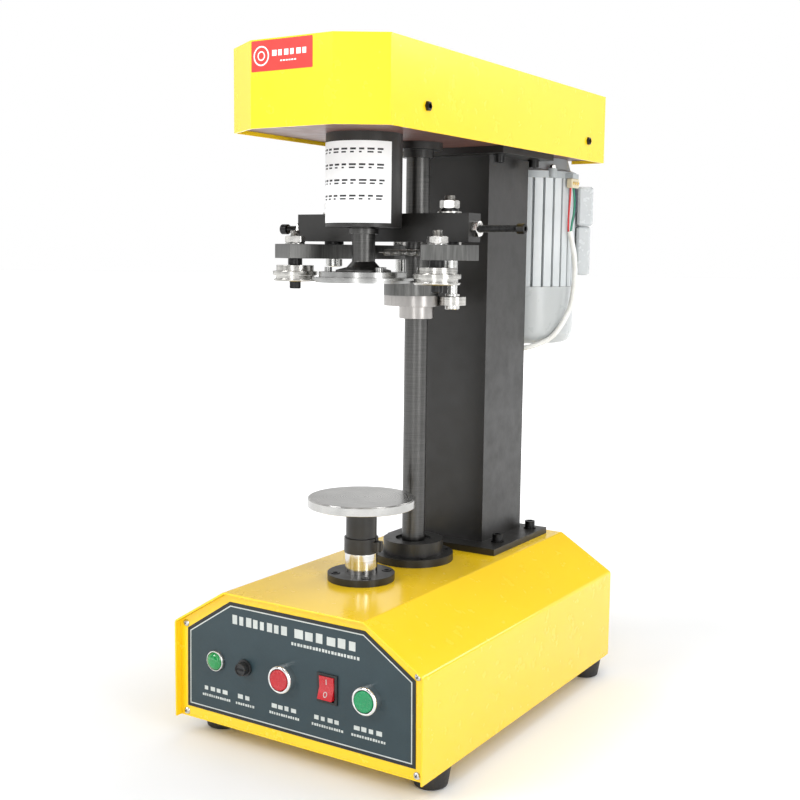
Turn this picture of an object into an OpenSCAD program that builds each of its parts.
// Bench-top electric can seaming machine.
// Origin: on the floor, under the centre of the base. X to the machine's right, front face towards -Y.

/* [Base] */
// Width of the base housing
base_w = 320; // [310:1:330]
// Depth of the base housing, front to back
base_d = 464; // [460:1:480]
// Height of the housing above its feet
base_h = 152; // [150:1:156]
// Height of the housing's upright side walls
side_h = 109; // [105:1:112]
// Width of the housing's flat top
top_w = 180; // [176:1:190]
// Thickness of the folded sheet
sheet = 2; // [1.5:0.1:2.5]
// Height of the rubber feet
foot_h = 23; // [20:1:26]
// How far the end panels sit inside the housing's ends
panel_recess = 8; // [6:0.5:10]

/* [Controls] */
// Height of the row of controls above the floor
control_z = 95; // [92:1:98]
// Outer radius of a push-button's bezel
bezel_r = 15; // [14:0.5:16]
// How far a push-button's bezel stands out
bezel_h = 10.5; // [9:0.5:12]
// Travel of a push-button
button_travel = 3; // [2:0.5:3]

/* [Column] */
// Width of the column's box tube
column_w = 90; // [84:1:92]
// Depth of the column's box tube
column_d = 104; // [100:1:106]
// Wall of the column's box tube
column_wall = 5; // [4:0.5:6]
// Y of the column's front face
column_front = 94.5; // [94:0.5:96]
// Thickness of the column's end plates
end_plate = 8; // [7:0.5:9]

/* [Head] */
// Width of the head cover
cover_w = 193; // [190:1:196]
// Height of the head cover
cover_h = 85.5; // [84:0.5:88]
// Height of the cover's lower edge above the floor
cover_z = 656; // [656:0.5:657]
// Y of the cover's front
cover_front = -231.5; // [-233:0.5:-230]
// Y of the cover's back
cover_back = 317; // [316:1:320]
// Height of the head plate's underside above the floor
plate_z = 660; // [660:0.5:660.5]
// Thickness of the head plate
plate_t = 10; // [9:0.5:11]

/* [Spindle] */
// Y of the spindle axis
spindle_y = -103.5; // [-104:0.5:-103]
// Radius of the spindle shaft
spindle_r = 12.5; // [12:0.5:12.5]
// Radius of the spindle housing
housing_r = 41; // [40:0.5:41]
// Radius of the chuck's working rim
chuck_r = 55.5; // [54.5:0.5:55.5]

/* [Seaming head] */
// Distance of each seaming roll from the machine's middle
roll_x = 92.3; // [92:0.1:93]
// Radius of a seaming roll
roll_r = 25; // [24:0.5:25]
// Distance of each arm pivot from the machine's middle
pivot_x = 76; // [75.5:0.5:76.5]
// Y of the arm pivots
pivot_y = -51.5; // [-52:0.5:-51]
// Swing of each arm
arm_swing = 15; // [10:1:15]
// Height of the arms' underside above the floor
arm_z = 528; // [528:0.5:528.5]
// Thickness of the arms
arm_t = 16; // [15:0.5:16]

/* [Cam shaft] */
// Y of the cam shaft axis
cam_y = 6.5; // [6:0.5:7]
// Radius of the cam shaft
cam_shaft_r = 13.5; // [13:0.5:13.5]
// Working turn of the cam shaft
cam_turn = 120; // [120:1:120]
// Radius of the bearings that follow the cams
follower_r = 16; // [15.5:0.5:16]

/* [Pedestal] */
// Radius of the turntable
turntable_r = 59.5; // [58:0.5:60]
// Height of the turntable's top above the floor when down
turntable_z = 268; // [266:1:268]
// Radius of the sliding ram
ram_r = 18; // [17.5:0.5:18]
// Lift of the pedestal
lift = 20; // [15:1:20]

/* [Motor] */
// Y of the motor axis
motor_y = 280.5; // [280:0.5:281]
// Radius over the motor's fins
motor_r = 68; // [66:0.5:69]
// Number of cooling fins
fin_count = 30; // [24:2:32]

/* [Hidden] */
$fn = 48;

// Gap between pieces that are fitted but do not move on each other
fit = 0.1;
// Radial running clearance of a shaft in its bore
run = 0.05;
// Gap between a moving piece and what it passes
gap = 0.3;

// Base levels and faces
base_top = foot_h + base_h;
shoulder_z = foot_h + side_h;
base_front = -base_d / 2;
base_back = base_d / 2;
panel_t = 2;
panel_y = base_front + panel_recess;
fascia_t = 0.8;
fascia_y = panel_y - fascia_t;
deck_t = 8;
deck_top = base_top - sheet;
deck_z = deck_top - deck_t;

// Controls, from left to right on the front panel
pilot_x = -106;
fuse_x = -66;
jog_x = -13;
rocker_x = 42.5;
auto_x = 93;
case_screw_x = 149.5;
case_screw_z = [29, 129];
button_r = 11;
rocker_tilt = 8;

// Foot positions
foot_x = 138;
foot_y = [-178, 206];

// Column and its bolts
column_y = column_front + column_d / 2;
foot_plate_w = 152;
foot_plate_front = 68;
foot_plate_d = 146;
top_plate_front = 70;
top_plate_d = 136;
bolt_r = 4;
foot_bolts = [for (x = [-60, 60], y = [107.5, 197.5]) [x, y]];
top_bolts = [for (x = [-60, 60], y = [92, 183]) [x, y]];
cable_z = 413;
cable_x = 22;

// Head
cover_corner = [46.7, 29.7];
cover_top = cover_z + cover_h;
plate_top = plate_z + plate_t;
cover_screws = [for (side = [-1, 1], y = [-134, 264]) [side, y]];
cover_screw_z = 680.5;

// Spindle
housing_z = 562;
chuck_z = 505.8;
chuck_rim_t = 2.8;
hub_r = 48;
hub_top = 514.5;
pulley_z = 690;
pulley_h = 18;
belt_t = 8;
belt_w = 10;
spindle_belt_r = 47;
motor_belt_r = 24;

// Seaming rolls: z levels from the bottom flange to the top of the hub
roll_z = [502.7, 505.3, 509.1, 513.8, 520.5];
roll_groove_r = 22;
stud_r = 5.5;
arm_top = arm_z + arm_t;
pivot_r = 6;

// Cams and followers
follower_x = 36;
follower_y = 27.5;
follower_h = 10;
follower_stud_r = 5.6;
lower_cam_z = 474.3;
upper_cam_z = 487.3;
cam_t = 12.8;
upper_cam_t = 15.8;
hub_z = 460.4;
right_follower_z = 476;
left_follower_z = 489.6;
cam_gap = 0.3;
cam_dwell = 12;
cam_fall = 90;
cam_step = 3;

// Crossbar
crossbar_x = [-118, 107];
crossbar_y = [-64.5, -38.5];
crossbar_z = [547.5, 578];
adjuster_z = 561.5;

// Pedestal and lift
ram_z = 112;
ram_top = 206;
ring_top = 223;
post_top = turntable_z - 10.2;
collar_r = 25;
collar_h = 6;
neck_z = 160;
lever_pivot = [80, 105];
lever_ram_arm = lever_pivot[0] - spindle_y;
lever_cam_arm = lever_pivot[0] - cam_y;
lever_swing = asin(lift / lever_ram_arm);
face_cam_rise = lever_cam_arm * sin(lever_swing);
lever_roller_r = 9;

// Motor
motor_core_r = 58;
motor_z = 494.5;
motor_top = 634;
motor_shaft_r = 9.5;
fan_z = 419;

// Route of the white motor cable: down the motor's side, into the back of the column, down to the base
cable_r = 3.5;
cable_route = [[72, 270, 566], [75, 271, 552], [78, 273, 533], [79, 274, 512], [78.5, 272, 490],
    [77, 268, 470], [72, 261, 452], [67, 252, 438], [60, 242, 427], [50, 231, 420], [40, 222, 416],
    [31, 215, 414], [24, 209, 413], [22, 203, 413], [22, 197, 413], [22, 190, 413], [20, 181, 409],
    [16, 170, 400], [10, 160, 386], [4, 152, 368], [0, 146.5, 346], [0, 146.5, 320], [0, 146.5, 240], [0, 146.5, 160],
    [-3, 146, 140], [-12, 145, 122], [-26, 144, 106], [-44, 142, 94], [-64, 140, 87], [-79, 139, 78],
    [-87, 139, 66], [-88, 139, 54]];
// Routes of the three thin leads, from the cable's end to the terminal strip
lead_r = 1.25;
lead_routes = [
    [[70.6, 269, 567.5], [70.8, 267, 578], [72, 265, 590], [73, 265, 606], [73, 266, 621.6]],
    [[73.4, 269, 567.5], [74.6, 270, 578], [76, 272, 590], [76, 273, 606], [74, 273, 621.6]],
    [[72, 271.6, 567.5], [73, 275, 578], [74.5, 278, 590], [75, 280, 606], [73, 280, 621.6]]];

// Extrudes a drawing of (x, z) points along Y, from y0 to y0 + length
module along_y(y0, length) {
    translate([0, y0 + length, 0])
        rotate([90, 0, 0])
            linear_extrude(length)
                children();
}

// Cylinder along Y, from y0 to y0 + length
module y_rod(x, y0, z, r, length) {
    translate([x, y0 + length, z])
        rotate([90, 0, 0])
            cylinder(r = r, h = length);
}

// Cylinder along X, from x0 to x0 + length
module x_rod(x0, y, z, r, length) {
    translate([x0, y, z])
        rotate([0, 90, 0])
            cylinder(r = r, h = length);
}

// Vertical cylinder between two heights
module post(x, y, z0, z1, r) {
    translate([x, y, z0])
        cylinder(r = r, h = z1 - z0);
}

// Vertical ring between two heights
module ring(x, y, z0, z1, r, bore) {
    difference() {
        post(x, y, z0, z1, r);
        post(x, y, z0 - 1, z1 + 1, bore);
    }
}

// Block between two corners
module block(low, high) {
    translate(low)
        cube(high - low);
}

// Hexagon nut, with the size across its flats
module hex(x, y, z0, z1, across, bore) {
    difference() {
        translate([x, y, z0])
            cylinder(r = across / sqrt(3), h = z1 - z0, $fn = 6);
        post(x, y, z0 - 1, z1 + 1, bore);
    }
}

// Socket-head screw standing on z, head up, with its shank below
module cap_screw(x, y, z, r, shank) {
    difference() {
        union() {
            post(x, y, z, z + 2 * r, 1.6 * r);
            post(x, y, z - shank, z, r);
        }
        translate([x, y, z + r])
            cylinder(r = r, h = 2 * r, $fn = 6);
    }
}

// Countersunk screw with its head flush at z
module flush_screw(x, y, z, r, shank) {
    difference() {
        union() {
            translate([x, y, z - r])
                cylinder(r1 = r, r2 = 2 * r, h = r);
            post(x, y, z - shank, z - r, r);
        }
        translate([x, y, z - 0.6 * r])
            cylinder(r = 0.8 * r, h = 2 * r, $fn = 6);
    }
}

// Socket-head screw hanging under z, head down, with its shank above
module cap_screw_up(x, y, z, r, shank) {
    translate([0, 0, 2 * z])
        mirror([0, 0, 1])
            cap_screw(x, y, z, r, shank);
}

// Outline of the housing's end, in X and Z, set in by a thickness
function house(inset, bottom) =
    let (half = base_w / 2 - inset,
        side_bend = atan2(base_w / 2 - top_w / 2, base_top - shoulder_z),
        side_top = shoulder_z - inset * tan(side_bend / 2),
        flat = top_w / 2 - inset * tan((90 - side_bend) / 2))
    [[-half, bottom], [-half, side_top], [-flat, base_top - inset], [flat, base_top - inset],
        [half, side_top], [half, bottom]];

// Outline of the head, in X and Y, set in by a thickness
function head_outline(inset) =
    let (half = cover_w / 2 - inset,
        low = cover_front + inset,
        corner = cover_corner,
        slope = atan2(corner[1], corner[0]),
        front = half + inset - corner[0] - inset * tan(slope / 2),
        side = cover_front + corner[1] + inset * tan((90 - slope) / 2))
    [[-front, low], [front, low], [half, side], [half, cover_back - inset],
        [-half, cover_back - inset], [-half, side]];

// Base housing: one folded sheet, open below and at both ends
module base_housing() {
    color("gold")
        difference() {
            along_y(base_front, base_d)
                difference() {
                    polygon(house(0, foot_h));
                    polygon(house(sheet, foot_h - 1));
                }
            post(0, spindle_y, deck_top - 1, base_top + 1, 25);
            post(0, cam_y, deck_top - 1, base_top + 1, 20);
            post(0, column_y, deck_top - 1, base_top + 1, 15);
            for (p = foot_bolts)
                post(p[0], p[1], deck_top - 1, base_top + 1, bolt_r + fit);
            flange_holes(deck_top - 1, base_top + 1);
        }
}

// Front panel, with its cut-outs
module front_panel() {
    color("gold")
        difference() {
            along_y(panel_y, panel_t)
                polygon(house(sheet + fit, foot_h + panel_t + fit));
            panel_cutouts(panel_y - 1, panel_t + 2);
        }
}

// Cut-outs that the panel and the fascia share
module panel_cutouts(y0, length) {
    y_rod(pilot_x, y0, control_z, 8, length);
    y_rod(fuse_x, y0, control_z, 7.5 + fit, length);
    for (x = [jog_x, auto_x])
        y_rod(x, y0, control_z, button_r + fit, length);
    block([rocker_x - 11 - fit, y0, control_z - 14 - fit],
        [rocker_x + 11 + fit, y0 + length, control_z + 14 + fit]);
    for (x = [-case_screw_x, case_screw_x], z = case_screw_z)
        y_rod(x, y0, z, 2 + fit, length);
}

// Bottom sheet folded up at the back into the rear panel
module base_tray() {
    color("gold")
        difference() {
            union() {
                block([-base_w / 2 + sheet + fit, panel_y, foot_h],
                    [base_w / 2 - sheet - fit, base_back - panel_recess, foot_h + panel_t]);
                along_y(base_back - panel_recess - panel_t, panel_t)
                    polygon(house(sheet + fit, foot_h));
            }
            for (x = [-case_screw_x, case_screw_x], z = case_screw_z)
                y_rod(x, base_back - panel_recess - 3, z, 2 + fit, 4);
            y_rod(-105, base_back - panel_recess - 3, 60, 8 + fit, 4);
            for (x = [-foot_x, foot_x], y = foot_y)
                post(x, y, foot_h - 1, foot_h + panel_t + 1, 3 + fit);
            for (i = [-6:6])
                block([40 + 8 * i, base_back - panel_recess - 3, 90],
                    [43 + 8 * i, base_back - panel_recess + 1, 120]);
        }
}

// Steel deck under the housing's top, which carries the column and the flanges
module deck_plate() {
    color("dimgray")
        difference() {
            block([-85, -170, deck_z], [85, 222, deck_top - fit]);
            post(0, spindle_y, deck_z - 1, base_top, 24 + fit);
            post(0, cam_y, deck_z - 1, base_top, 18 + fit);
            post(0, column_y, deck_z - 1, base_top, 15);
            for (p = foot_bolts)
                post(p[0], p[1], deck_z - 1, base_top, bolt_r + fit);
            flange_holes(deck_z - 1, base_top);
        }
}

// Printed fascia sheet on the front panel
module control_fascia() {
    color([0.22, 0.29, 0.32])
        difference() {
            along_y(fascia_y, fascia_t)
                polygon([[-148, 35.5], [-147, 124.5], [-87, 163.5], [87, 163.5], [147, 124.5], [148, 35.5]]);
            panel_cutouts(fascia_y - 1, fascia_t + 2);
        }
}

// Pan-head screw along Y; side -1 has its head in front of y, side 1 behind it
module pan_screw_y(x, y, z, side) {
    y_rod(x, side < 0 ? y - 2.4 : y, z, 4, 2.4);
    y_rod(x, side < 0 ? y : y - 8, z, 2, 8);
}

// Screws of the end panels and of the head cover
module case_screws() {
    color("silver") {
        for (x = [-case_screw_x, case_screw_x], z = case_screw_z) {
            pan_screw_y(x, panel_y, z, -1);
            pan_screw_y(x, base_back - panel_recess, z, 1);
        }
        for (x = [-foot_x, foot_x], y = foot_y) {
            post(x, y, 8.2, 12, 5.5);
            post(x, y, 12, foot_h + 5, 2.9);
        }
        for (s = cover_screws) {
            translate([s[0] * cover_w / 2, s[1], cover_screw_z])
                rotate([0, s[0] * 90, 0])
                    cylinder(r = 5.2, h = 3.2, $fn = 6);
            x_rod(min(s[0] * cover_w / 2, s[0] * (cover_w / 2 - 8)), s[1], cover_screw_z, 2, 8);
        }
    }
}

// Four tapered rubber feet, each with a pocket for its screw
module rubber_feet() {
    color([0.17, 0.16, 0.16])
        for (x = [-foot_x, foot_x], y = foot_y)
            translate([x, y, 0])
                rotate_extrude()
                    polygon([[7, 0], [15.5, 0], [17.5, 1.5], [21, foot_h - 1], [20.5, foot_h], [3, foot_h],
                        [3, 12], [6, 12], [6, 8], [7, 8]]);
}

// Green pilot light: metal bezel, and the lens that fills it
module pilot_light() {
    color("silver")
        difference() {
            union() {
                y_rod(pilot_x, fascia_y - 4, control_z, 11.5, 4);
                y_rod(pilot_x, fascia_y, control_z, 8 - fit, 24);
            }
            y_rod(pilot_x, fascia_y - 5, control_z, 9, 3.5);
        }
    color("green")
        translate([pilot_x, fascia_y - 1.5, control_z])
            rotate([90, 0, 0])
                rotate_extrude()
                    polygon([[0, 0], [9 - fit, 0], [9 - fit, 3], [7, 5], [4, 6], [0, 6.3]]);
}

// Fuse holder: flange in front of the panel and barrel behind it
module fuse_holder() {
    color([0.1, 0.1, 0.1])
        difference() {
            union() {
                y_rod(fuse_x, fascia_y - 2.5, control_z, 9, 2.5);
                y_rod(fuse_x, fascia_y, control_z, 7.5, 30);
            }
            y_rod(fuse_x, fascia_y - 3, control_z, 3 + run, 22);
        }
}

// Bayonet cap of the fuse holder, with a coin slot
module fuse_cap() {
    color([0.12, 0.12, 0.12])
        difference() {
            union() {
                y_rod(fuse_x, fascia_y - 9.5, control_z, 7, 6.8);
                y_rod(fuse_x, fascia_y - 3, control_z, 3, 20);
            }
            block([fuse_x - 5.5, fascia_y - 10, control_z - 0.9], [fuse_x + 5.5, fascia_y - 7.7, control_z + 0.9]);
        }
}

// Bezel ring and barrel of one push-button
module button_bezel(x) {
    difference() {
        union() {
            y_rod(x, fascia_y - bezel_h, control_z, bezel_r, bezel_h);
            y_rod(x, fascia_y, control_z, button_r, 34);
        }
        y_rod(x, fascia_y - bezel_h - 1, control_z, button_r + 0.6, bezel_h);
        y_rod(x, fascia_y - 2, control_z, 4 + run, 30);
    }
}

module button_bezels() {
    color("silver")
        for (x = [jog_x, auto_x])
            button_bezel(x);
}

// Cap and stem of one push-button
module button_cap(x) {
    y_rod(x, fascia_y - bezel_h - 0.8, control_z, button_r, 6.5);
    y_rod(x, fascia_y - bezel_h + 5, control_z, 4, 20);
}

module jog_button() {
    color("crimson")
        button_cap(jog_x);
}

module auto_button() {
    color("seagreen")
        button_cap(auto_x);
}

// Frame and body of the rocker switch
module rocker_frame() {
    color([0.08, 0.08, 0.08])
        difference() {
            union() {
                block([rocker_x - 12.5, fascia_y - 2, control_z - 15.5], [rocker_x + 12.5, fascia_y, control_z + 15.5]);
                block([rocker_x - 11, fascia_y, control_z - 14], [rocker_x + 11, fascia_y + 28, control_z + 14]);
            }
            block([rocker_x - 9.5, fascia_y - 3, control_z - 13], [rocker_x + 9.5, fascia_y + 14, control_z + 13]);
            x_rod(rocker_x - 10.6, fascia_y + 4, control_z, 1.5 + run, 21.2);
        }
}

// Key of the rocker switch on its two pins, resting in the off position
module rocker_key() {
    color("red")
        translate([rocker_x, fascia_y + 4, control_z])
            rotate([-rocker_tilt, 0, 0]) {
                rotate([90, 0, 90])
                    linear_extrude(18, center = true)
                        polygon([[-9, -12], [-6.6, 0], [-9, 12], [3, 11], [6, 0], [3, -11]]);
                for (x = [-10.4, 9])
                    x_rod(x, 0, 0, 1.5, 1.4);
            }
}

// Gland for the mains lead in the rear panel, and grommet for the motor cable in the column
module cable_glands() {
    y_gland = base_back - panel_recess;
    color([0.12, 0.12, 0.12]) {
        difference() {
            union() {
                y_rod(-105, y_gland - 10, 60, 8, 10);
                y_rod(-105, y_gland, 60, 12, 7);
                y_rod(-105, y_gland + 7, 60, 10, 8);
            }
            y_rod(-105, y_gland - 11, 60, 4.5, 30);
        }
        difference() {
            union() {
                y_rod(cable_x, column_front + column_d - column_wall - 1.5, cable_z, 6, column_wall + 1.5);
                y_rod(cable_x, column_front + column_d, cable_z, 9, 3);
            }
            y_rod(cable_x, column_front + column_d - 10, cable_z, cable_r + fit, 20);
        }
    }
}

// Electrical box in the base: mounting block, two relays and a terminal row
module control_unit() {
    low = foot_h + panel_t;
    color("whitesmoke") {
        block([-150, 70, low], [-70, 190, low + 8]);
        for (y = [78, 118])
            block([-144, y, low + 8], [-108, y + 34, low + 50]);
        for (i = [0:5])
            block([-98, 80 + 17 * i, low + 8], [-78, 95 + 17 * i, low + 26]);
    }
}

// Geared motor under the cam shaft, with the ears that carry the lift lever
module base_gearmotor() {
    low = foot_h + panel_t;
    pivot = lever_pivot;
    color("slategray")
        difference() {
            union() {
                block([-45, cam_y - 45, low], [45, cam_y + 45, 78]);
                x_rod(-140, cam_y, 52, 25, 95);
                for (x = [36, 54])
                    block([x, 51, low + 20], [x + 5, 92, 116]);
                block([30, 51, low], [60, 92, low + 22]);
            }
            post(0, cam_y, 40, 80, cam_shaft_r + run);
            x_rod(30, pivot[0], pivot[1], 5 + run, 40);
        }
}

// Height of the face cam at a turn of the shaft
function face_height(a) =
    a < 10 ? 0
    : a < 10 + cam_turn ? face_cam_rise * (a - 10) / cam_turn
    : a < 30 + cam_turn ? face_cam_rise
    : a < 330 ? face_cam_rise * (330 - a) / (300 - cam_turn)
    : 0;

// Face cam on the cam shaft, whose rising rim lifts the lever's roller
module lift_cam() {
    steps = 72;
    low = 80;
    face = lever_pivot[1] - lever_roller_r - gap;
    bore = cam_shaft_r + 0.25;
    rim = 39;
    // The shaft turns clockwise, so the rim climbs anticlockwise from just before the roller
    heights = [for (i = [0:steps - 1]) face + face_height(i * 360 / steps)];
    points = [for (i = [0:steps - 1], q = [[bore, low], [rim, low], [rim, heights[i]], [bore, heights[i]]])
        [q[0] * cos(i * 360 / steps - 10), q[0] * sin(i * 360 / steps - 10), q[1]]];
    faces = [for (i = [0:steps - 1], k = [0:3])
        let (a = 4 * i, b = 4 * ((i + 1) % steps), n = (k + 1) % 4)
        each [[a + k, a + n, b + k], [a + n, b + n, b + k]]];
    color("silver")
        translate([0, cam_y, 0])
            polyhedron(points = points, faces = faces, convexity = 6);
}

// Lift lever: bar beside the shaft, roller on the face cam, rod under the ram
module lift_lever() {
    py = lever_pivot[0];
    pz = lever_pivot[1];
    color("dimgray") {
        difference() {
            union() {
                block([42, spindle_y - 6, pz - 6], [50, py + 9, pz + 6]);
                x_rod(42, py, pz, 9, 11.7);
            }
            x_rod(30, py, pz, 5, 30);
            x_rod(40, spindle_y, pz, 5, 12);
            x_rod(40, cam_y, pz, 4, 12);
        }
        x_rod(37, py, pz, 5, 21);
        difference() {
            union() {
                x_rod(-14, spindle_y, pz, 6.3, 56);
                x_rod(42, spindle_y, pz, 5, 8);
            }
        }
        x_rod(25, cam_y, pz, 4, 25);
        difference() {
            x_rod(26, cam_y, pz, lever_roller_r, 11);
            x_rod(25, cam_y, pz, 4, 13);
        }
    }
}

// Return spring round the ram, between the flange's neck and the ram's collar
module lift_spring() {
    color("gray")
        ring(0, spindle_y, ram_z + collar_h + gap, neck_z - gap, 23, 19.5);
}

// Guide flange of the pedestal, with its neck through the deck
module pedestal_flange() {
    color([0.15, 0.15, 0.15])
        difference() {
            union() {
                post(0, spindle_y, base_top, base_top + 8, 37.5);
                post(0, spindle_y, neck_z, base_top, 24);
            }
            post(0, spindle_y, neck_z - 1, base_top + 9, ram_r + run);
            for (a = [45:90:359])
                post(29 * cos(a), spindle_y + 29 * sin(a), base_top - 1, base_top + 9, 3 + fit);
            for (a = [45:90:359])
                post(29 * cos(a), spindle_y + 29 * sin(a), base_top + 2.5, base_top + 9, 5.4);
        }
}

// Screw holes of the two flanges on the deck
module flange_holes(z0, z1) {
    for (a = [45:90:359])
        post(29 * cos(a), spindle_y + 29 * sin(a), z0, z1, 3 + fit);
    for (a = [45:90:359])
        post(41 * cos(a), cam_y + 41 * sin(a), z0, z1, 3 + fit);
}

// Screws of the pedestal flange, the cam shaft flange and the motor
module flange_screws() {
    color([0.1, 0.1, 0.1]) {
        for (a = [45:90:359])
            cap_screw(29 * cos(a), spindle_y + 29 * sin(a), base_top + 2.6, 3, 16);
        for (a = [45:90:359])
            flush_screw(41 * cos(a), cam_y + 41 * sin(a), base_top + 9, 3, 24);
        for (a = [45:90:359])
            cap_screw(38 * cos(a), motor_y + 38 * sin(a), plate_top, 3, 24);
        for (a = [30:60:359])
            cap_screw(33.5 * cos(a), spindle_y + 33.5 * sin(a), plate_top, 3, 24);
    }
}

// Polished ram that slides in the flange, with a collar below and a stud on top
module pedestal_ram() {
    color("silver") {
        post(0, spindle_y, ram_z, ram_top, ram_r);
        post(0, spindle_y, ram_z, ram_z + collar_h, collar_r);
        post(0, spindle_y, ram_top, ram_top + 34, 12);
    }
}

// Clamping ring under the post, with its lug and screw
module lock_ring() {
    color([0.12, 0.12, 0.12]) {
        difference() {
            union() {
                post(0, spindle_y, ram_top, ring_top, 19);
                block([15, spindle_y - 6, ram_top + 3], [25, spindle_y + 6, ring_top - 3]);
            }
            post(0, spindle_y, ram_top - 1, ring_top + 1, 12);
            block([11, spindle_y - 0.8, ram_top - 1], [26, spindle_y + 0.8, ring_top + 1]);
        }
    }
}

// Screwed post that sets the height of the turntable
module pedestal_post() {
    color([0.14, 0.14, 0.15])
        difference() {
            union() {
                post(0, spindle_y, ring_top, post_top, 17);
                post(0, spindle_y, post_top, post_top + 6, 8);
            }
            post(0, spindle_y, ring_top - 1, ram_top + 34.2, 12);
        }
}

// Round turntable that the can stands on
module turntable() {
    color("silver")
        difference() {
            union() {
                post(0, spindle_y, turntable_z - 10, turntable_z - 1, turntable_r);
                post(0, spindle_y, turntable_z - 1, turntable_z, turntable_r - 1);
            }
            post(0, spindle_y, turntable_z - 11, turntable_z - 3.5, 8 + run);
        }
}

// Column: box tube welded between a foot plate and a top plate
module column() {
    inner = [column_w / 2 - column_wall, column_d - 2 * column_wall];
    color([0.15, 0.15, 0.14])
        difference() {
            union() {
                block([-column_w / 2, column_front, base_top],
                    [column_w / 2, column_front + column_d, plate_z]);
                block([-foot_plate_w / 2, foot_plate_front, base_top],
                    [foot_plate_w / 2, foot_plate_front + foot_plate_d, base_top + end_plate]);
                block([-foot_plate_w / 2, top_plate_front, plate_z - end_plate],
                    [foot_plate_w / 2, top_plate_front + top_plate_d, plate_z]);
            }
            block([-inner[0], column_front + column_wall, base_top + end_plate],
                [inner[0], column_front + column_wall + inner[1], plate_z - end_plate]);
            for (p = foot_bolts)
                post(p[0], p[1], base_top - 1, base_top + end_plate + 1, bolt_r + fit);
            for (p = top_bolts)
                post(p[0], p[1], plate_z - end_plate - 1, plate_z + 1, bolt_r + fit);
            post(0, column_y, base_top - 1, base_top + end_plate + 1, 15);
            y_rod(cable_x, column_front + column_d - column_wall - 1, cable_z, 6 + fit, column_wall + 2);
        }
}

// Socket-head bolts of the column's foot and top plates, with washers
module column_bolts() {
    foot_z = base_top + end_plate;
    top_z = plate_z - end_plate;
    color([0.1, 0.1, 0.1]) {
        for (p = foot_bolts) {
            ring(p[0], p[1], foot_z, foot_z + 1.6, 8, bolt_r + fit);
            cap_screw(p[0], p[1], foot_z + 1.6, bolt_r, 24);
        }
        for (p = top_bolts) {
            ring(p[0], p[1], top_z - 1.6, top_z, 8, bolt_r + fit);
            cap_screw_up(p[0], p[1], top_z - 1.6, bolt_r, 18);
        }
    }
}

// Head plate, which carries the spindle, the cam shaft's top and the motor
module head_plate() {
    color([0.45, 0.27, 0.26])
        difference() {
            union() {
                translate([0, 0, plate_z])
                    linear_extrude(plate_t)
                        polygon(head_outline(4));
                for (s = cover_screws)
                    block([s[0] > 0 ? 84 : -92.5, s[1] - 9, plate_top],
                        [s[0] > 0 ? 92.5 : -84, s[1] + 9, plate_top + 20]);
            }
            post(0, spindle_y, plate_z - 1, plate_top + 1, 15);
            post(0, motor_y, plate_z - 1, plate_top + 1, 14);
            for (p = top_bolts)
                post(p[0], p[1], plate_z - 1, plate_top + 1, bolt_r + fit);
            for (a = [45:90:359])
                post(38 * cos(a), motor_y + 38 * sin(a), plate_z - 1, plate_top + 1, 3 + fit);
            for (a = [30:60:359])
                post(33.5 * cos(a), spindle_y + 33.5 * sin(a), plate_z - 1, plate_top + 1, 3 + fit);
            for (s = cover_screws)
                x_rod(min(s[0] * 80, s[0] * 95), s[1], cover_screw_z, 2 + fit, 15);
        }
}

// Head cover: sheet box, open below
module head_cover() {
    color("gold")
        difference() {
            translate([0, 0, cover_z])
                linear_extrude(cover_h)
                    polygon(head_outline(0));
            translate([0, 0, cover_z - 1])
                linear_extrude(cover_h + 1 - sheet)
                    polygon(head_outline(sheet));
            post(0, motor_y, cover_z - 1, plate_z + 0.5, 62);
            for (s = cover_screws)
                x_rod(min(s[0] * 90, s[0] * 100), s[1], cover_screw_z, 2 + fit, 10);
        }
}

// Spindle housing, bored for the two bearings
module spindle_housing() {
    color([0.13, 0.13, 0.12])
        difference() {
            post(0, spindle_y, housing_z, plate_z, housing_r);
            post(0, spindle_y, housing_z + 4, plate_z + 1, 26);
            post(0, spindle_y, housing_z - 1, plate_z + 1, 17.5);
            for (a = [30:60:359])
                post(33.5 * cos(a), spindle_y + 33.5 * sin(a), plate_z - 18, plate_z + 1, 3 + fit);
            for (x = [-22, 22])
                y_rod(x, spindle_y + 20, 570, 3 + fit, 30);
        }
}

// Two ball bearings of the spindle
module spindle_bearings() {
    color("silver")
        for (z = [housing_z + 4, plate_z - 20])
            ring(0, spindle_y, z, z + 15, 26, spindle_r + run);
}

// Spindle: shaft, oil ring under the housing and flared hub above the chuck
module spindle() {
    color([0.2, 0.2, 0.2])
        translate([0, spindle_y, 0])
            rotate_extrude()
                polygon([[0, hub_top], [30, hub_top], [30, hub_top + 2], [18, hub_top + 5],
                    [spindle_r, hub_top + 11], [spindle_r, housing_z - 7], [16, housing_z - 7],
                    [16, housing_z - 1], [spindle_r, housing_z - 1], [spindle_r, pulley_z + pulley_h + 12],
                    [0, pulley_z + pulley_h + 12]]);
}

// Seaming chuck: spigot, working rim and hub plate with three screws
module chuck() {
    color([0.72, 0.72, 0.72]) {
        difference() {
            union() {
                post(0, spindle_y, chuck_z - 2.8, chuck_z, chuck_r - 4);
                post(0, spindle_y, chuck_z, chuck_z + chuck_rim_t, chuck_r);
                post(0, spindle_y, chuck_z + chuck_rim_t, hub_top, hub_r);
            }
            for (a = [90:120:359])
                post(38 * cos(a), spindle_y + 38 * sin(a), chuck_z - 4, hub_top + 1, 2.5 + fit);
        }
        for (a = [90:120:359])
            cap_screw(38 * cos(a), spindle_y + 38 * sin(a), hub_top, 2.5, 10);
    }
}

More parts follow.
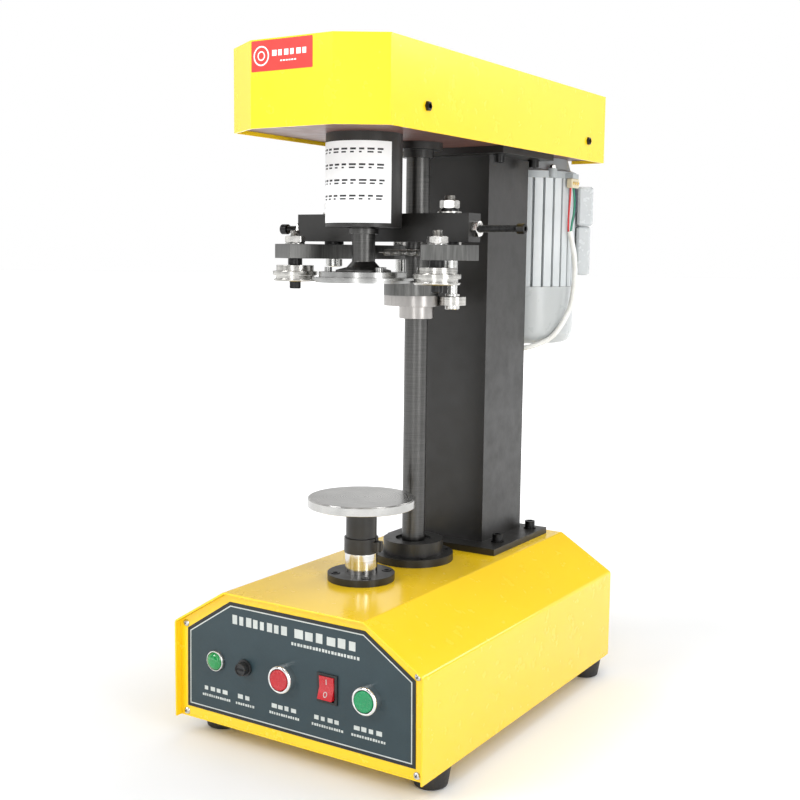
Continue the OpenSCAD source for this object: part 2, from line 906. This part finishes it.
// Grooved pulley with its bore
module pulley(y, r, belt_r, bore) {
    mid = pulley_z + pulley_h / 2;
    difference() {
        post(0, y, pulley_z, pulley_z + pulley_h, r);
        ring(0, y, mid - belt_w / 2 - 0.5, mid + belt_w / 2 + 0.5, r + 5, belt_r - 0.5);
        post(0, y, pulley_z - 1, pulley_z + pulley_h + 1, bore);
    }
}

module spindle_pulley() {
    color("silver")
        difference() {
            pulley(spindle_y, spindle_belt_r + belt_t + 1, spindle_belt_r, spindle_r);
            for (a = [0:60:359])
                post(30 * cos(a), spindle_y + 30 * sin(a), pulley_z - 1, pulley_z + pulley_h + 1, 9);
        }
}

module motor_pulley() {
    color("silver")
        pulley(motor_y, motor_belt_r + belt_t + 1, motor_belt_r, motor_shaft_r);
}

// Outline of a loop round both pulleys, at one side of the belt
function belt_loop(extra) =
    let (far = motor_y - spindle_y,
        lean = asin((spindle_belt_r - motor_belt_r) / far),
        big = spindle_belt_r + extra,
        small = motor_belt_r + extra,
        sweep = 180 + 2 * lean,
        short = 180 - 2 * lean)
    concat([for (i = [0:30]) let (a = 180 - lean + sweep * i / 30) [big * cos(a), spindle_y + big * sin(a)]],
        [for (i = [0:24]) let (a = lean + short * i / 24) [small * cos(a), motor_y + small * sin(a)]]);

// Drive belt from the motor pulley to the spindle pulley
module drive_belt() {
    color([0.1, 0.1, 0.1])
        translate([0, 0, pulley_z + pulley_h / 2 - belt_w / 2])
            linear_extrude(belt_w)
                difference() {
                    polygon(belt_loop(belt_t));
                    polygon(belt_loop(0));
                }
}

// Motor frame and stator, with fins all round
module motor_frame() {
    color([0.62, 0.64, 0.65]) {
        ring(0, motor_y, motor_z, motor_z + 7, 40, motor_shaft_r + run);
        translate([0, motor_y, motor_z])
            linear_extrude(motor_top - motor_z)
                difference() {
                    circle(r = motor_r);
                    for (i = [0:fin_count - 1])
                        rotate((i + 0.5) * 360 / fin_count)
                            translate([motor_core_r, -1.6])
                                square([motor_r - motor_core_r + 2, 3.2]);
                    circle(r = 34);
                }
    }
}

// End shield on the motor's drive end, hung from the head plate
module motor_end_shield() {
    color([0.6, 0.62, 0.63])
        difference() {
            union() {
                translate([0, motor_y, 0])
                    rotate_extrude()
                        polygon([[0, motor_top], [motor_r, motor_top], [motor_r, motor_top + 9],
                            [60, motor_top + 12], [56, plate_z], [0, plate_z]]);
                for (a = [58:90:359])
                    post(67 * cos(a), motor_y + 67 * sin(a), motor_top, motor_top + 12, 6);
                block([58, 264, motor_top], [77, 282, motor_top + 6]);
            }
            post(0, motor_y, motor_top - 1, plate_z + 1, motor_shaft_r + run);
            for (a = [45:90:359])
                post(38 * cos(a), motor_y + 38 * sin(a), plate_z - 15, plate_z + 1, 3 + fit);
        }
}

// Fan cover at the motor's lower end, with ventilation slots in its floor
module fan_cover() {
    wall = 1.5;
    bend = 16;
    color([0.66, 0.68, 0.69])
        difference() {
            translate([0, motor_y, fan_z])
                rotate_extrude()
                    polygon(concat([[0, 0]],
                        [for (i = [0:8]) let (a = -90 + i * 90 / 8)
                            [motor_r - bend + bend * cos(a), bend + bend * sin(a)]],
                        [[motor_r, motor_z - fan_z - 0.2], [motor_r - wall, motor_z - fan_z - 0.2]],
                        [for (i = [8:-1:0]) let (a = -90 + i * 90 / 8)
                            [motor_r - bend + (bend - wall) * cos(a), bend + (bend - wall) * sin(a)]],
                        [[0, wall]]));
            for (i = [-2:2])
                block([-sqrt(1600 - pow(i * 14, 2)), motor_y + i * 14 - 3, fan_z - 1],
                    [sqrt(1600 - pow(i * 14, 2)), motor_y + i * 14 + 3, fan_z + 3]);
        }
}

// Rotor with its shaft and cooling fan
module motor_rotor() {
    color("silver") {
        post(0, motor_y, 448, pulley_z + pulley_h + 4, motor_shaft_r);
        ring(0, motor_y, 510, 618, 33.4, motor_shaft_r);
        difference() {
            union() {
                ring(0, motor_y, 452, 456, 54, motor_shaft_r);
                for (i = [0:7])
                    translate([0, motor_y, 456])
                        rotate(i * 45)
                            translate([18, -1.2, 0])
                                cube([36, 2.4, 22]);
            }
        }
    }
}

// Two plastic boxes on the motor's side, and the terminal strip under the end shield
module motor_electrics() {
    color([0.9, 0.92, 0.92])
        translate([0, motor_y, 0])
            rotate(38) {
                block([motor_r, -22, 574], [motor_r + 21, 22, 626]);
                block([motor_r, -20, 509], [motor_r + 19, 20, 573.5]);
            }
    color([0.8, 0.75, 0.6])
        block([69, 262, 622], [77, 284, motor_top]);
}

// Direction of a route at one of its points
function heading(route, i) =
    let (a = route[max(i - 1, 0)], b = route[min(i + 1, len(route) - 1)], d = b - a)
    d / norm(d);

// Round tube swept along a route
module tube_along(route, r, sides) {
    n = len(route);
    points = [for (i = [0:n - 1])
        let (t = heading(route, i), u = cross([0.3, 1, 0.1], t), s = u / norm(u), w = cross(t, s))
        each [for (k = [0:sides - 1]) route[i] + r * (cos(360 * k / sides) * s + sin(360 * k / sides) * w)]];
    walls = [for (i = [0:n - 2], k = [0:sides - 1])
        let (a = i * sides + k, b = i * sides + (k + 1) % sides)
        each [[a, a + sides, b], [b, a + sides, b + sides]]];
    ends = [[for (k = [0:sides - 1]) k], [for (k = [sides - 1:-1:0]) (n - 1) * sides + k]];
    polyhedron(points = points, faces = concat(walls, ends), convexity = 8);
}

// White motor cable and its three thin leads
module motor_cable() {
    color("white")
        tube_along(cable_route, cable_r, 10);
    for (i = [0:2])
        color(["red", "green", "navy"][i])
            tube_along(lead_routes[i], lead_r, 8);
}

// Crossbar behind the spindle, which carries the arm pivots in two slots
module crossbar() {
    mid = (crossbar_y[0] + crossbar_y[1]) / 2;
    color([0.14, 0.14, 0.13])
        difference() {
            block([crossbar_x[0], crossbar_y[0], crossbar_z[0]], [crossbar_x[1], crossbar_y[1], crossbar_z[1]]);
            post(0, spindle_y, housing_z - 1, crossbar_z[1] + 1, housing_r + fit);
            for (side = [-1, 1])
                translate([side * pivot_x, pivot_y, crossbar_z[0] - 1])
                    linear_extrude(crossbar_z[1] - crossbar_z[0] + 2) {
                        for (x = [-5, 5])
                            translate([x, 0])
                                circle(r = pivot_r + fit);
                        square([10, 2 * (pivot_r + fit)], center = true);
                    }
            x_rod(crossbar_x[0] - 1, mid, adjuster_z, 4 + fit, crossbar_x[1] - crossbar_x[0] + 2);
            for (x = [-22, 22])
                y_rod(x, crossbar_y[0] - 20, 570, 3 + fit, 50);
        }
}

// Pivot bolts of the arms, with their washers and nuts
module pivot_bolts() {
    color("silver")
        for (side = [-1, 1]) {
            x = side * pivot_x;
            difference() {
                union() {
                    post(x, pivot_y, arm_z - 8.8, arm_z - gap, 9.5);
                    post(x, pivot_y, arm_z - gap, 597, pivot_r);
                }
                translate([x, pivot_y, arm_z - 9])
                    cylinder(r = 5, h = 5, $fn = 6);
            }
            ring(x, pivot_y, arm_top + gap, crossbar_z[0], 11, pivot_r + fit);
            ring(x, pivot_y, crossbar_z[1], crossbar_z[1] + 2, 13, pivot_r + fit);
            ring(x, pivot_y, crossbar_z[1] + 2, crossbar_z[1] + 5, 10, pivot_r + fit);
            hex(x, pivot_y, crossbar_z[1] + 5, crossbar_z[1] + 14, 19, pivot_r + fit);
        }
}

// Adjusting screws at both ends of the crossbar, with lock nuts, and its two fixing screws
module crossbar_screws() {
    mid = (crossbar_y[0] + crossbar_y[1]) / 2;
    left = crossbar_x[0];
    right = crossbar_x[1];
    stop = pivot_x + pivot_r + 0.2;
    color([0.1, 0.1, 0.1]) {
        x_rod(stop, mid, adjuster_z, 4, right + 51 - stop);
        x_rod(right + 51, mid, adjuster_z, 5.5, 9);
        x_rod(left - 24, mid, adjuster_z, 4, -stop - (left - 24));
        x_rod(left - 33, mid, adjuster_z, 6, 9);
        for (x = [-22, 22]) {
            y_rod(x, spindle_y + 21, 570, 3, crossbar_y[1] - (spindle_y + 21));
            y_rod(x, crossbar_y[1], 570, 5, 6);
        }
    }
    color("silver")
        for (x = [left - 7, right])
            difference() {
                translate([x, mid, adjuster_z])
                    rotate([0, 90, 0])
                        cylinder(r = 9, h = 7, $fn = 6);
                x_rod(x - 1, mid, adjuster_z, 4 + fit, 9);
            }
}

// Plan of the right arm: wide head in front, pivot in the middle, tail behind
module arm_plan() {
    difference() {
        union() {
            polygon([[84.5, -123.7], [125, -98.5], [125, -74], [92, -30], [46.5, 33.2], [25.5, 21.8],
                [52, -72]]);
            translate([follower_x, follower_y])
                circle(r = 12);
        }
        translate([pivot_x, pivot_y])
            circle(r = pivot_r + run);
        translate([roll_x, spindle_y])
            circle(r = stud_r + fit);
        translate([follower_x, follower_y])
            circle(r = follower_stud_r + fit);
    }
}

module right_arm() {
    color([0.16, 0.16, 0.16])
        translate([0, 0, arm_z])
            linear_extrude(arm_t)
                arm_plan();
}

module left_arm() {
    color([0.16, 0.16, 0.16])
        translate([0, 0, arm_z])
            linear_extrude(arm_t)
                mirror([1, 0])
                    arm_plan();
}

// Roll stud and follower stud of one arm, with their nuts and washers
module arm_studs(side, bearing_z, head_h) {
    x = side * roll_x;
    fx = side * follower_x;
    // Roll stud
    post(x, spindle_y, roll_z[0] - 8.3, roll_z[0] - gap, 6.4);
    post(x, spindle_y, roll_z[0] - gap, arm_top + 15, stud_r);
    ring(x, spindle_y, roll_z[4] + gap, arm_z, 8, stud_r + fit);
    hex(x, spindle_y, arm_top, arm_top + 9, 20, stud_r + fit);
    // Follower stud
    post(fx, follower_y, bearing_z - gap - head_h, bearing_z - gap, 8.5);
    post(fx, follower_y, bearing_z - gap, arm_top + 9, follower_stud_r);
    ring(fx, follower_y, bearing_z + follower_h + gap, bearing_z + follower_h + 3, 8.5, follower_stud_r + fit);
    hex(fx, follower_y, arm_top, arm_top + 6, 17, follower_stud_r + fit);
}

module left_arm_studs() {
    color("silver")
        arm_studs(-1, left_follower_z, 1.8);
}

module right_arm_studs() {
    color("silver")
        arm_studs(1, right_follower_z, 4.5);
}

// Seaming roll with its groove, bored for the stud
module roll(side) {
    translate([side * roll_x, spindle_y, 0])
        rotate_extrude()
            polygon([[stud_r + run, roll_z[0]], [roll_r - 1.5, roll_z[0]], [roll_r - 0.5, roll_z[0] + 1],
                [roll_r - 0.5, roll_z[1]], [roll_groove_r, roll_z[1]], [roll_groove_r, roll_z[2]],
                [roll_r, roll_z[2]], [roll_r, roll_z[3]], [roll_groove_r - 1, roll_z[3] + 0.6],
                [roll_groove_r - 1, roll_z[4]], [stud_r + run, roll_z[4]]]);
}

module left_roll() {
    color("silver")
        roll(-1);
}

module right_roll() {
    color("silver")
        roll(1);
}

// Ball bearing that follows a cam
module left_follower() {
    color("silver")
        ring(-follower_x, follower_y, left_follower_z, left_follower_z + follower_h, follower_r,
            follower_stud_r + run);
}

module right_follower() {
    color("silver")
        ring(follower_x, follower_y, right_follower_z, right_follower_z + follower_h, follower_r,
            follower_stud_r + run);
}

// Spring that draws the two arm tails together
module return_spring() {
    color("gray")
        x_rod(-33, -20, arm_z + 8, 4, 66);
}

// Upright cam shaft
module cam_shaft() {
    color([0.2, 0.2, 0.2])
        post(0, cam_y, 44, 655.5, cam_shaft_r);
}

// Place of the right follower once its arm has swung by an angle
function follower_at(swing) =
    let (dx = follower_x - pivot_x, dy = follower_y - pivot_y)
    [pivot_x + dx * cos(swing) + dy * sin(swing), pivot_y - dx * sin(swing) + dy * cos(swing) - cam_y];

// Swing of an arm at an angle of its cam: rise, dwell, fall and rest
function swing_at(a) =
    a < cam_turn ? arm_swing * a / cam_turn
    : a < cam_turn + cam_dwell ? arm_swing
    : a < cam_turn + cam_dwell + cam_fall ?
        arm_swing * (1 + cos(180 * (a - cam_turn - cam_dwell) / cam_fall)) / 2
    : 0;

// Places the follower takes as seen from the turning cam; the right arm has side 1, the left arm side -1
function follower_path(side) = [for (a = [0:cam_step:360 - cam_step])
    let (f = follower_at(swing_at(a)), bearing = side > 0 ? atan2(f[1], f[0]) : 180 - atan2(f[1], f[0]))
    [norm(f), bearing + a]];

// Distance from the shaft axis, along a bearing, to a follower at one of its places
function reach(place, bearing) =
    let (off = place[0] * sin(bearing - place[1]),
        along = place[0] * cos(bearing - place[1]),
        keep = follower_r + cam_gap)
    abs(off) < keep && along > 0 ? along - sqrt(keep * keep - off * off) : 99;

// Cam outline: on every bearing it reaches as far as the follower's path lets it
module cam_outline(side) {
    path = follower_path(side);
    polygon([for (b = [0:cam_step:360 - cam_step])
        let (r = min([for (place = path) reach(place, b)]))
        [r * cos(b), r * sin(b)]]);
}

// Upper cam, which works the left arm, with its clamping screw
module upper_cam() {
    color([0.1, 0.1, 0.1])
        translate([0, cam_y, 0]) {
            difference() {
                translate([0, 0, upper_cam_z])
                    linear_extrude(upper_cam_t)
                        cam_outline(-1);
                post(0, 0, upper_cam_z - 1, upper_cam_z + upper_cam_t + 1, cam_shaft_r);
            }
            translate([0, -19, upper_cam_z + upper_cam_t])
                cylinder(r = 3.4, h = 4);
        }
}

// Lower cam, which works the right arm, with its hub
module lower_cam() {
    color("silver")
        translate([0, cam_y, 0])
            difference() {
                union() {
                    translate([0, 0, lower_cam_z])
                        linear_extrude(cam_t)
                            cam_outline(1);
                    post(0, 0, hub_z, lower_cam_z, 20);
                }
                post(0, 0, hub_z - 1, lower_cam_z + cam_t + 1, cam_shaft_r);
            }
}

// Lower flange bearing on the deck and upper bearing under the head plate
module cam_shaft_bearings() {
    color([0.16, 0.16, 0.16]) {
        difference() {
            union() {
                post(0, cam_y, base_top, base_top + 9, 47.5);
                post(0, cam_y, base_top + 9, base_top + 25, 35.5);
                post(0, cam_y, deck_z - 4, base_top, 18);
            }
            post(0, cam_y, deck_z - 5, base_top + 30, cam_shaft_r + run);
            post(0, cam_y, base_top + 22, base_top + 30, 21);
            for (a = [45:90:359]) {
                post(41 * cos(a), cam_y + 41 * sin(a), base_top - 1, base_top + 7, 3 + fit);
                translate([41 * cos(a), cam_y + 41 * sin(a), base_top + 6])
                    cylinder(r1 = 3 + fit, r2 = 6 + fit, h = 3.001);
            }
        }
        difference() {
            union() {
                post(0, cam_y, plate_z - 8, plate_z, 28);
                post(0, cam_y, plate_z - 17, plate_z - 8, 17.5);
            }
            post(0, cam_y, plate_z - 18, plate_z - 4, cam_shaft_r + run);
        }
    }
}

base_housing();
front_panel();
base_tray();
deck_plate();
control_fascia();
case_screws();
rubber_feet();
pilot_light();
fuse_holder();
fuse_cap();
button_bezels();
jog_button();
auto_button();
rocker_frame();
rocker_key();
cable_glands();
control_unit();
base_gearmotor();
lift_cam();
lift_lever();
lift_spring();
pedestal_flange();
flange_screws();
pedestal_ram();
lock_ring();
pedestal_post();
turntable();
column();
column_bolts();
head_plate();
head_cover();
spindle_housing();
spindle_bearings();
spindle();
chuck();
spindle_pulley();
drive_belt();
motor_pulley();
motor_frame();
motor_end_shield();
fan_cover();
motor_rotor();
motor_electrics();
motor_cable();
crossbar();
pivot_bolts();
crossbar_screws();
left_arm();
right_arm();
left_arm_studs();
right_arm_studs();
left_roll();
right_roll();
left_follower();
right_follower();
return_spring();
cam_shaft();
upper_cam();
lower_cam();
cam_shaft_bearings();
